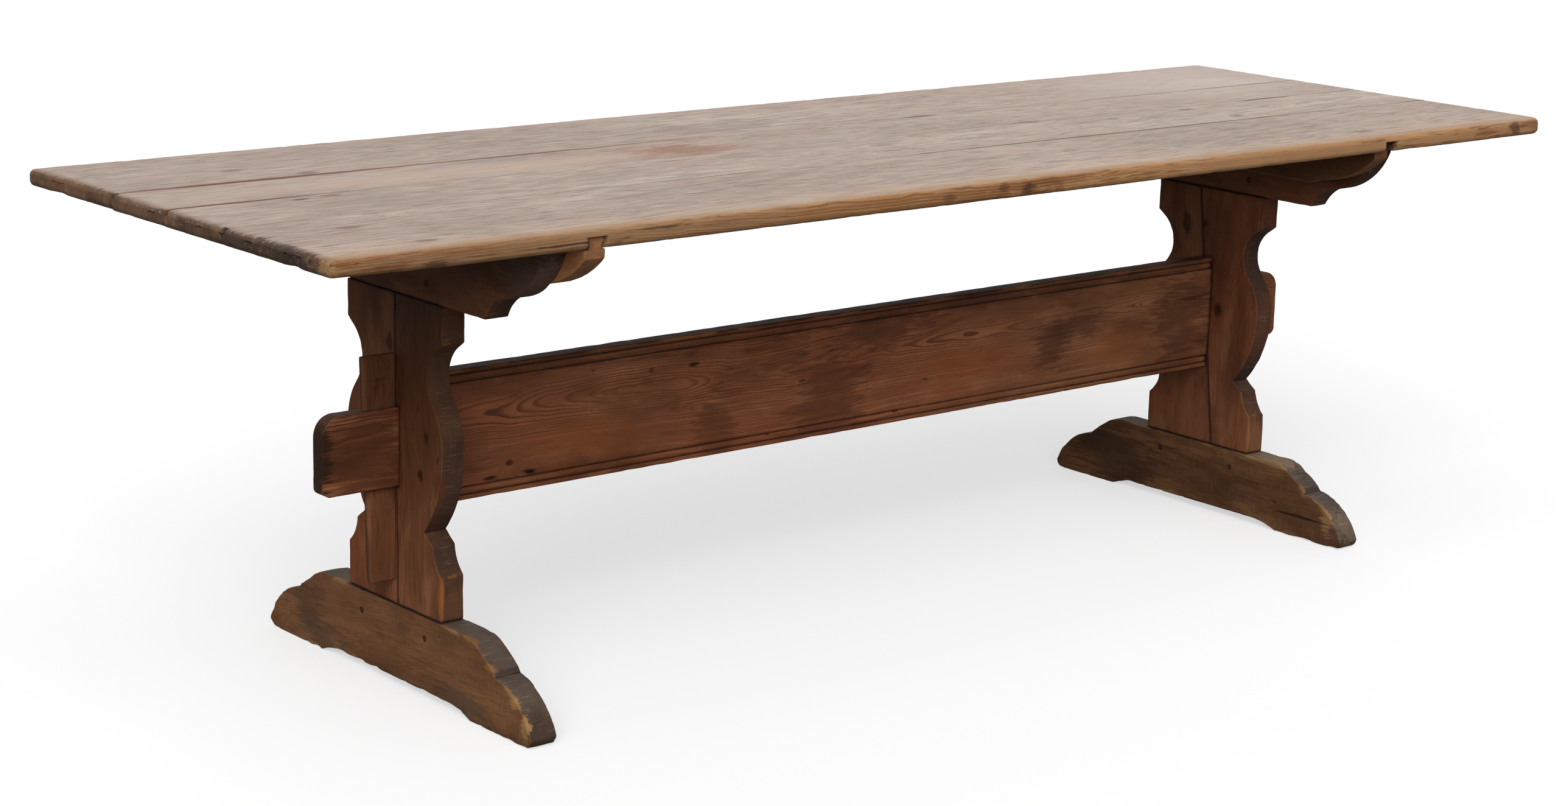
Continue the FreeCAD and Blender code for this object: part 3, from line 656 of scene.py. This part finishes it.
def stained_pine(name, shades, bare, dust, grime, scuffed, marks):
    """Old pine under a dark stain, worn and soiled by hands: reddish and cloudy with a low wax sheen,
    sooty on the sawn edges, and rubbed to bare wood on some of the arrises. The shades are the stain's dark,
    olive, red and light; bare is a colour and where it begins, dust and grime a colour and its strength."""
    dark, olive, red, light = shades
    bare_code, bare_from = bare
    dust_code, dust_strength = dust
    grime_code, grime_strength = grime
    material, tree, shader = new_material(name)
    figure = pine_figure(tree, ring_mm=2.5, knots_from=0.9)
    rub = add(tree, "Attribute", {}, out="Fac", attribute_name="rubbed")
    edge = add(tree, "Attribute", {}, out="Fac", attribute_name="edge")
    corner_grime_and_shade = add(tree, "Attribute", {}, out="Fac", attribute_name="corner_grime_and_shade")
    # Painted shade of the board, weaker on its sawn edges
    edge_shade_share = add(tree, "MapRange", {0: edge, 1: 0.3, 2: 0.9, 3: 1.0, 4: 0.4})
    painted_shade = add(tree, "Attribute", {}, out="Fac", attribute_name="painted_shade")
    painted_shade = add(tree, "Math", {0: painted_shade, 1: edge_shade_share}, operation="MULTIPLY")
    lines = add(tree, "Attribute", {}, out="Fac", attribute_name="lines")
    normal = add(tree, "TexCoord", {}, out="Normal")
    upward = add(tree, "SeparateXYZ", {0: normal}, out="Z")

    # Clouds of stain, with the figure of the pine showing through where they are thin
    hue = add(tree, "MapRange", {0: figure["hue"], 1: 0.35, 2: 0.65})
    ground = add(tree, "Mix", {0: hue, 6: linear(olive), 7: linear(red)}, out=2, data_type="RGBA")
    soiled = add(tree, "MapRange", {0: figure["cloud"], 1: 0.58, 2: 0.32, 4: 0.85}, **SMOOTH)
    warm = add(tree, "MapRange", {0: figure["blotch"], 1: 0.48, 2: 0.74, 4: 0.45}, **SMOOTH)
    smudge = add(tree, "MapRange", {0: figure["blotch"], 1: 0.46, 2: 0.28, 4: 0.5}, **SMOOTH)
    streak = add(tree, "MapRange", {0: figure["streak"], 1: 0.55, 2: 0.3, 4: 0.2})
    clear = add(tree, "MapRange", {0: figure["cloud"], 1: 0.4, 2: 0.62, 3: 0.1, 4: 0.4})
    late = add(tree, "Math", {0: figure["ring"], 1: clear}, operation="MULTIPLY")
    late = add(tree, "Math", {0: late, 1: lines}, operation="MULTIPLY", use_clamp=True)
    dash = add(tree, "MapRange", {0: figure["dash"], 1: 0.4, 2: 0.28, 4: 0.45})
    fibre = add(tree, "MapRange", {0: figure["fibre"], 1: 0.5, 2: 0.3, 4: 0.25})
    knot = add(tree, "Math", {0: figure["knot"], 1: 0.75}, operation="MULTIPLY")
    dent = add(tree, "Math", {0: figure["dent"], 1: 0.6}, operation="MULTIPLY")

    # Grime on the sawn edges, dust that settled, bare arrises, and grime with painted shade in the corners
    patchy = add(tree, "MapRange", {0: figure["cloud"], 1: 0.3, 2: 0.6, 3: 1.0, 4: 0.75})
    grimy = add(tree, "MapRange", {0: edge, 1: 0.35, 2: 0.9, 4: grime_strength}, **SMOOTH)
    grimy = add(tree, "Math", {0: grimy, 1: patchy}, operation="MULTIPLY")
    settled = add(tree, "MapRange", {0: upward, 1: 0.45, 2: 0.9, 4: dust_strength}, **SMOOTH)
    settled = add(tree, "Math", {0: settled, 1: figure["blotch"]}, operation="MULTIPLY")
    most = add(tree, "MapRange", {0: edge, 1: 0.3, 2: 0.9, 3: scuffed, 4: scuffed + EDGE_SCUFF})
    scuff = add(tree, "MapRange", {0: figure["scuff"], 1: 0.56, 2: 0.76, 4: most})
    bare_to = bare_from + BARE_FADE
    rubbed = add(tree, "MapRange", {0: figure["blotch"], 1: bare_from, 2: bare_to}, **SMOOTH)
    rubbed = add(tree, "Math", {0: rubbed, 1: rub}, operation="MULTIPLY")
    rubbed = add(tree, "Math", {0: rubbed, 1: figure["dash"]}, operation="MULTIPLY")
    rubbed = add(tree, "MapRange", {0: rubbed, 1: 0.2, 2: 0.5, 4: 0.6}, **SMOOTH)
    # Grime and painted shade in corners and hollows, near black
    tucked_grime_and_shade = add(tree, "MapRange", {0: corner_grime_and_shade, 1: 0.4, 2: 1.0, 4: 0.8}, **SMOOTH)
    layers = [(soiled, dark), (warm, light), (smudge, dark), (streak, dark), (late, dark), (dash, dark),
              (fibre, "#2c1a10"), (knot, "#24130b"), (dent, "#20120a"), (grimy, grime_code),
              (settled, dust_code), (scuff, "#8f7f6d"), (rubbed, bare_code)]
    # Last come painted shade, set for each board at its foot and its head, and grime with painted shade in
    # corners
    layers += mark_layers(tree, figure, marks, raggedness=0.7) + [(painted_shade, "#140b06"), (tucked_grime_and_shade, "#180e08")]
    finish_surface(tree, shader, figure, paint(tree, ground, layers), roughness=(0.5, 0.7), sheen=0.06,
                   relief_mm=0.35)
    return material


def scrubbed_pine(name):
    """Bare pine, scrubbed pale and cloudy on top, honey-coloured and lined on its sides, with grimy
    end grain; the surface is dry and nearly matt."""
    material, tree, shader = new_material(name)
    figure = pine_figure(tree, ring_mm=2.6, knots_from=0.93)
    place = add(tree, "TexCoord", {}, out="Object")
    from_front = add(tree, "SeparateXYZ", {0: place}, out="Y")
    from_left = add(tree, "SeparateXYZ", {0: place}, out="X")
    normal = add(tree, "TexCoord", {}, out="Normal")
    endward = add(tree, "SeparateXYZ", {0: normal}, out="X")
    upward = add(tree, "SeparateXYZ", {0: normal}, out="Z")

    # Scrubbed upper face
    pale = add(tree, "MapRange", {0: figure["cloud"], 1: 0.46, 2: 0.68, 4: 0.75}, **SMOOTH)
    grey = add(tree, "MapRange", {0: figure["hue"], 1: 0.54, 2: 0.36, 4: 0.6}, **SMOOTH)
    warm = add(tree, "MapRange", {0: figure["blotch"], 1: 0.5, 2: 0.7, 4: 0.45}, **SMOOTH)
    worn = add(tree, "MapRange", {0: figure["blotch"], 1: 0.48, 2: 0.3, 4: 0.45}, **SMOOTH)
    streak = add(tree, "MapRange", {0: figure["streak"], 1: 0.52, 2: 0.3, 4: 0.3})
    bright = add(tree, "MapRange", {0: figure["dash"], 1: 0.54, 2: 0.7, 4: 0.4})
    late = add(tree, "Math", {0: figure["ring"], 1: 0.2}, operation="MULTIPLY")
    fibre = add(tree, "MapRange", {0: figure["fibre"], 1: 0.5, 2: 0.28, 4: 0.4})
    dash = add(tree, "MapRange", {0: figure["dash"], 1: 0.34, 2: 0.28, 4: 0.8})
    knot = add(tree, "Math", {0: figure["knot"], 1: 0.7}, operation="MULTIPLY")
    dent = add(tree, "Math", {0: figure["dent"], 1: 0.5}, operation="MULTIPLY")
    begin, full = ((FRONT_EDGE + reach) * MM for reach in WARMED_BAND)
    warmed = add(tree, "MapRange", {0: from_front, 1: begin, 2: full})
    warmed = add(tree, "Math", {0: warmed, 1: figure["cloud"]}, operation="MULTIPLY")
    warmed = add(tree, "MapRange", {0: warmed, 1: 0.1, 2: 0.5, 4: 0.5}, **SMOOTH)
    begin, full = ((FRONT_EDGE + reach) * MM for reach in HANDLED_BAND)
    handled = add(tree, "MapRange", {0: from_front, 1: begin, 2: full})
    handled = add(tree, "Math", {0: handled, 1: figure["blotch"]}, operation="MULTIPLY")
    handled = add(tree, "MapRange", {0: handled, 1: 0.1, 2: 0.5, 4: 0.8}, **SMOOTH)
    begin, full = ((reach - TOP_END) * MM for reach in SOILED_BAND)
    soiled = add(tree, "MapRange", {0: from_left, 1: begin, 2: full})
    soiled = add(tree, "Math", {0: soiled, 1: figure["cloud"]}, operation="MULTIPLY")
    soiled = add(tree, "MapRange", {0: soiled, 1: 0.05, 2: 0.55, 4: 0.8}, **SMOOTH)
    layers = [(pale, "#cabbae"), (grey, "#a19085"), (warm, "#c4a890"), (worn, "#93827a"), (streak, "#a08c7e"),
              (bright, "#d2c5ba"), (late, "#84695a"), (fibre, "#8b7566"), (dash, "#75604f"),
              (knot, "#75594a"), (dent, "#6d5647"), (warmed, "#cbb09a"), (handled, "#a98662"),
              (soiled, "#826650")]
    top = paint(tree, linear("#b9a699"), layers)

    # Honey-coloured sides, with the year rings as dark lines
    deep = add(tree, "MapRange", {0: figure["cloud"], 1: 0.58, 2: 0.36}, **SMOOTH)
    late = add(tree, "Math", {0: figure["ring"], 1: 0.7}, operation="MULTIPLY")
    layers = [(deep, "#80512c"), (warm, "#ac8254"), (streak, "#744b28"), (late, "#4f301a"), (dash, "#5e3d20"),
              (figure["knot"], "#40240f")]
    side = paint(tree, linear("#9c6e43"), layers)
    between = add(tree, "Math", {0: from_front}, operation="ABSOLUTE")
    between = add(tree, "Math", {0: between, 1: BACK_EDGE * MM * OUTER_SIDE}, operation="LESS_THAN")
    side = paint(tree, side, [(between, "#3d2a1e")])

    # Grimy end grain
    layers = [(deep, "#3d2817"), (warm, "#8a684a"), (streak, "#38261a"), (dash, "#2c1f16"),
              (fibre, "#2c1f16")]
    end = paint(tree, linear("#6b4d37"), layers)

    ragged = add(tree, "Math", {0: figure["dash"], 1: figure["fibre"]}, operation="ADD")
    ragged = add(tree, "MapRange", {0: ragged, 1: 0.6, 2: 1.4, 3: -0.2, 4: 0.2})
    endward = add(tree, "Math", {0: endward}, operation="ABSOLUTE")
    endward = add(tree, "Math", {0: endward, 1: ragged}, operation="ADD")
    endward = add(tree, "MapRange", {0: endward, 1: 0.35, 2: 0.75}, **SMOOTH)
    upward = add(tree, "Math", {0: upward, 1: ragged}, operation="ADD")
    upward = add(tree, "MapRange", {0: upward, 1: 0.66, 2: 1.06}, **SMOOTH)
    side = add(tree, "Mix", {0: endward, 6: side, 7: end}, out=2, data_type="RGBA")
    colour = add(tree, "Mix", {0: upward, 6: side, 7: top}, out=2, data_type="RGBA")
    marks = mark_layers(tree, figure, TOP_MARKS, raggedness=1.0)
    marks += mark_layers(tree, figure, KNOT_MARKS, raggedness=0.5)
    marks += mark_layers(tree, figure, JOINT_MARKS, raggedness=0.15)
    colour = paint(tree, colour, marks)
    finish_surface(tree, shader, figure, colour, roughness=(0.55, 0.72), sheen=0.3, relief_mm=0.5)
    return material


# The boards: direction of the grain, heart of the tree, rounding, wear and painted shade of each

def plank(seed, heart, short, sides):
    """A plank of the top; short is how far its left end is worn back, at its front and at its back side."""
    return {"axes": "XYZ", "heart": heart, "lean": 0.02, "lines": 1.0, "arris": 1.2, "cell": (8, 10, 0),
            "swell": 0.7, "nick": 1.6, "short": short, "sides": sides, "painted_shade": (0, 0), "seed": seed,
            "slot": "top_pine", "finish": "top", "shortest": 2.0}


def underframe(seed, axes, heart, painted_shade, slot="stained_pine", finish="underframe", arris=2.0, rub=5.0,
               nick=1.6, cell=(8, 8, 8), lines=0.5, lean=0.05):
    """A board of the underframe; painted_shade is how much painted shade darkens it at its foot and at its
    head, and lines how clear its year rings are."""
    return {"axes": axes, "heart": heart, "lean": lean, "lines": lines, "arris": arris, "cell": cell,
            "rub": rub, "swell": 0.5, "nick": nick, "painted_shade": painted_shade, "seed": seed, "slot": slot,
            "finish": finish, "shortest": 2.0 if cell[0] else 0.0}


def peg(seed):
    """A pair of pegs, too small to wear."""
    return underframe(seed, "XYZ", (0, 0), (0, 0), "peg_wood", "peg", arris=0.8, rub=1.2, nick=0.3,
                      cell=(0, 2.5, 2.5))


# Rounding, rubbed reach and nicks of the feet, which are kicked more than the rest
KICKED = {"arris": 3.0, "rub": 8.0, "nick": 4.0}

BOARDS = {
    "top_plank_front": plank(1, (-335, 620), (1.0, 0.0), (FRONT_EDGE, FRONT_JOINT)),
    "top_plank_inner_front": plank(2, (-60, 640), (0.0, 0.0), (FRONT_JOINT, MIDDLE_JOINT)),
    "top_plank_inner_back": plank(3, (120, 690), (0.0, 0.0), (MIDDLE_JOINT, BACK_JOINT)),
    "top_plank_back": plank(4, (250, 650), (5.0, -1.0), (BACK_JOINT, BACK_EDGE)),
    "left_batten": underframe(5, "YZX", (690, -980), (0.0, 0.0), "batten_pine", "batten"),
    "right_batten": underframe(6, "YZX", (690, 700), (0.7, 0.8), "batten_pine", "batten"),
    "left_bearer": underframe(7, "YZX", (640, -1010), (0.42, 0.57)),
    "right_bearer": underframe(8, "YZX", (640, 760), (0.35, 0.47)),
    "left_upright_front_board": underframe(9, "ZYX", (-60, -1010), (0.06, 0.87)),
    "left_upright_back_board": underframe(10, "ZYX", (70, -760), (0.12, 0.5)),
    "right_upright_front_board": underframe(11, "ZYX", (-50, 1010), (0.2, 0.27)),
    "right_upright_back_board": underframe(12, "ZYX", (90, 760), (0.29, 0.33)),
    "stretcher": underframe(13, "XZY", (410, 12), (0.0, 0.0), cell=(14, 10, 4), lines=2.6, lean=0.02),
    "left_wedge": underframe(14, "ZXY", (-930, 90), (0.27, 0.52)),
    "right_wedge": underframe(15, "ZXY", (930, 90), (0.27, 0.48)),
    "left_foot": underframe(16, "YZX", (20, -1010), (0.1, 0.1), "foot_pine", "foot", **KICKED),
    "right_foot": underframe(17, "YZX", (10, 760), (0.24, 0.24), "foot_pine", "foot", **KICKED),
    "left_foot_pegs": peg(18),
    "right_foot_pegs": peg(19),
    "left_bearer_pegs": peg(20),
    "right_bearer_pegs": peg(21),
}

FINISHES = {
    "top": scrubbed_pine("scrubbed_bare_pine"),
    "underframe": stained_pine(
        "dark_stained_pine", shades=("#573523", "#8b5c3f", "#8f5439", "#a9724e"), bare=("#8a5832", 0.52),
        dust=("#5a3d28", 0.4), grime=("#382c25", 0.92), scuffed=0.1, marks=FRAME_MARKS),
    "batten": stained_pine(
        "worn_stained_batten_pine", shades=("#6a432c", "#a4714b", "#ad6e46", "#c08556"),
        bare=("#9c6d48", 0.42), dust=("#7f6a58", 0.3), grime=("#6b5140", 0.3), scuffed=0.1,
        marks=BATTEN_MARKS),
    "foot": stained_pine(
        "dusty_stained_pine", shades=("#513726", "#7b5539", "#815437", "#986c46"), bare=("#a07748", 0.5),
        dust=("#7a6c61", 0.65), grime=("#38322f", 0.92), scuffed=0.3, marks=FOOT_MARKS),
    "peg": stained_pine(
        "stained_peg_wood", shades=("#38221a", "#573a27", "#5a3522", "#6b4830"), bare=("#2a1a12", 0.0),
        dust=("#6b5a4b", 0.2), grime=("#38291f", 0.3), scuffed=0.0, marks=[]),
}

for node, board in BOARDS.items():
    piece = worn_copy(node, board)
    piece.data.materials.append(FINISHES[board["finish"]])
    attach(piece, BODY_OF[node])
    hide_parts(node)


# Stage

def make_floor():
    """Plain white floor with a light shadow; all but the camera see it as a mid grey, so that the underside
    stays dark."""
    bm = bmesh.new()
    bmesh.ops.create_circle(bm, cap_ends=True, segments=FLOOR_SEGMENTS, radius=FLOOR_RADIUS)
    bmesh.ops.translate(bm, verts=bm.verts, vec=(0, 0, -FLOOR_DROP))
    mesh = bpy.data.meshes.new("floor")
    bm.to_mesh(mesh)
    bm.free()
    floor = bpy.data.objects.new("floor", mesh)
    bpy.context.scene.collection.objects.link(floor)
    material, tree, shader = new_material("pale_floor")
    seen = add(tree, "LightPath", {}, out="Is Camera Ray")
    colour = add(tree, "Mix", {0: seen, 6: linear("#8c8a86"), 7: linear("#c0c0c0")}, out=2, data_type="RGBA")
    tree.links.new(colour, shader.inputs["Base Color"])
    shader.inputs["Roughness"].default_value = 1.0
    shader.inputs["Specular IOR Level"].default_value = 0.0
    glow = add(tree, "Math", {0: seen, 1: FLOOR_GLOW}, operation="MULTIPLY")
    shader.inputs["Emission Color"].default_value = linear("#ffffff")
    tree.links.new(glow, shader.inputs["Emission Strength"])
    mesh.materials.append(material)


def light_stage():
    """A wide soft light overhead, a lower one from the front left, a weak one from behind that leaves no
    glare, and an even white surround."""
    for name, (level, source, spread) in LAMPS.items():
        lamp = bpy.data.lights.new(name, "SUN")
        lamp.angle = spread
        lamp.energy = level * math.pi
        sun = bpy.data.objects.new(name, lamp)
        sun.rotation_euler = Vector(source).to_track_quat("Z", "Y").to_euler()
        sun.visible_glossy = name != "fill"
        bpy.context.scene.collection.objects.link(sun)
    world = bpy.data.worlds.new("surround")
    bpy.context.scene.world = world
    world.use_nodes = True
    tree = world.node_tree
    background = tree.nodes["Background"]
    camera = add(tree, "LightPath", {}, out="Is Camera Ray")
    glossy = add(tree, "LightPath", {}, out="Is Glossy Ray")
    clear = add(tree, "LightPath", {}, out="Is Transmission Ray")
    seen = add(tree, "Math", {0: camera, 1: glossy}, operation="MAXIMUM")
    seen = add(tree, "Math", {0: seen, 1: clear}, operation="MAXIMUM")
    level = add(tree, "MapRange", {0: seen, 3: DOME_LEVEL, 4: 1.0})
    background.inputs["Color"].default_value = linear("#ffffff")
    tree.links.new(level, background.inputs["Strength"])


def place_camera():
    """The photograph's camera."""
    forward = Vector((math.sin(CAMERA_YAW) * math.cos(CAMERA_PITCH),
                      math.cos(CAMERA_YAW) * math.cos(CAMERA_PITCH),
                      math.sin(CAMERA_PITCH)))
    level = Vector((math.cos(CAMERA_YAW), -math.sin(CAMERA_YAW), 0))
    upright = level.cross(forward)
    right = level * math.cos(CAMERA_ROLL) + upright * math.sin(CAMERA_ROLL)
    up = upright * math.cos(CAMERA_ROLL) - level * math.sin(CAMERA_ROLL)
    lens = bpy.data.cameras.new("camera")
    lens.sensor_width = SENSOR_MM
    lens.lens = FOCAL_PX / PHOTO_WIDTH_PX * SENSOR_MM
    camera = bpy.data.objects.new("camera", lens)
    turn = Matrix((right, up, -forward)).transposed().to_4x4()
    camera.matrix_world = Matrix.Translation(CAMERA_PLACE) @ turn
    bpy.context.scene.collection.objects.link(camera)
    bpy.context.scene.camera = camera


make_floor()
light_stage()
place_camera()
bpy.context.scene.view_settings.view_transform = "Standard"
